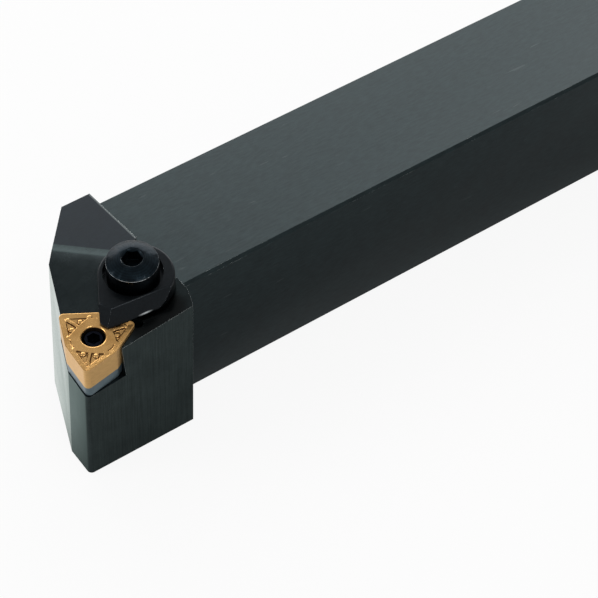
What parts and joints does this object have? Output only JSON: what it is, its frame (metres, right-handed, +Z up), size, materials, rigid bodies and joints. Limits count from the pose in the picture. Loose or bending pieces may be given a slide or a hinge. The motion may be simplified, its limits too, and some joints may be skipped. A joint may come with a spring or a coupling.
{
  "type": "turning tool holder",
  "caption": "Square-shank external turning tool holder with a raised offset head, trigon insert on a seat plate, and a finger clamp tightened by a socket screw.",
  "frame": {"origin": "centre of the shank's flat underside, half way along the tool's length and half way across the shank", "axes": "+X runs along the shank from the cutting head to the rear end; -Y is the cutting side, which the head stands out to; +Z is up, away from the underside"},
  "size_m": [0.15, 0.032, 0.0346],
  "materials": {
    "holder_steel": "blued, fine milled, satin",
    "insert_coating": "copper-gold coating, satin with bright edges",
    "shim_carbide": "ground carbide, satin",
    "clamp_steel": "black oxide, semi-gloss",
    "screw_steel": "black oxide with fine turning marks, semi-gloss",
    "pin_steel": "blue-black oxide, semi-gloss",
    "spring_steel": "drawn wire, bright"
  },
  "bodies": {
    "holder": {"holder_body": "holder_steel", "insert": "insert_coating", "shim": "shim_carbide", "shim_pin": "pin_steel", "clamp_spring": "spring_steel"},
    "clamp": {"clamp": "clamp_steel"},
    "clamp_screw": {"clamp_screw": "screw_steel"}
  },
  "joints": [
    {"name": "clamp_lift", "type": "slide", "parent": "holder", "child": "clamp", "axis": [-0.104, -0.104, 0.9891], "range_m": [0, 0.0024], "deforming": ["clamp_spring"]},
    {"name": "clamp_screw_turn", "type": "hinge", "parent": "clamp", "child": "clamp_screw", "pos_m": [-0.05847, -0.00944, 0.02714], "axis": [-0.104, -0.104, 0.9891], "range_deg": [0, 1081]}
  ],
  "couplings": [
    {"joint": "clamp_screw_turn", "follows": "clamp_lift", "rad_per_m": 7854}
  ]
}
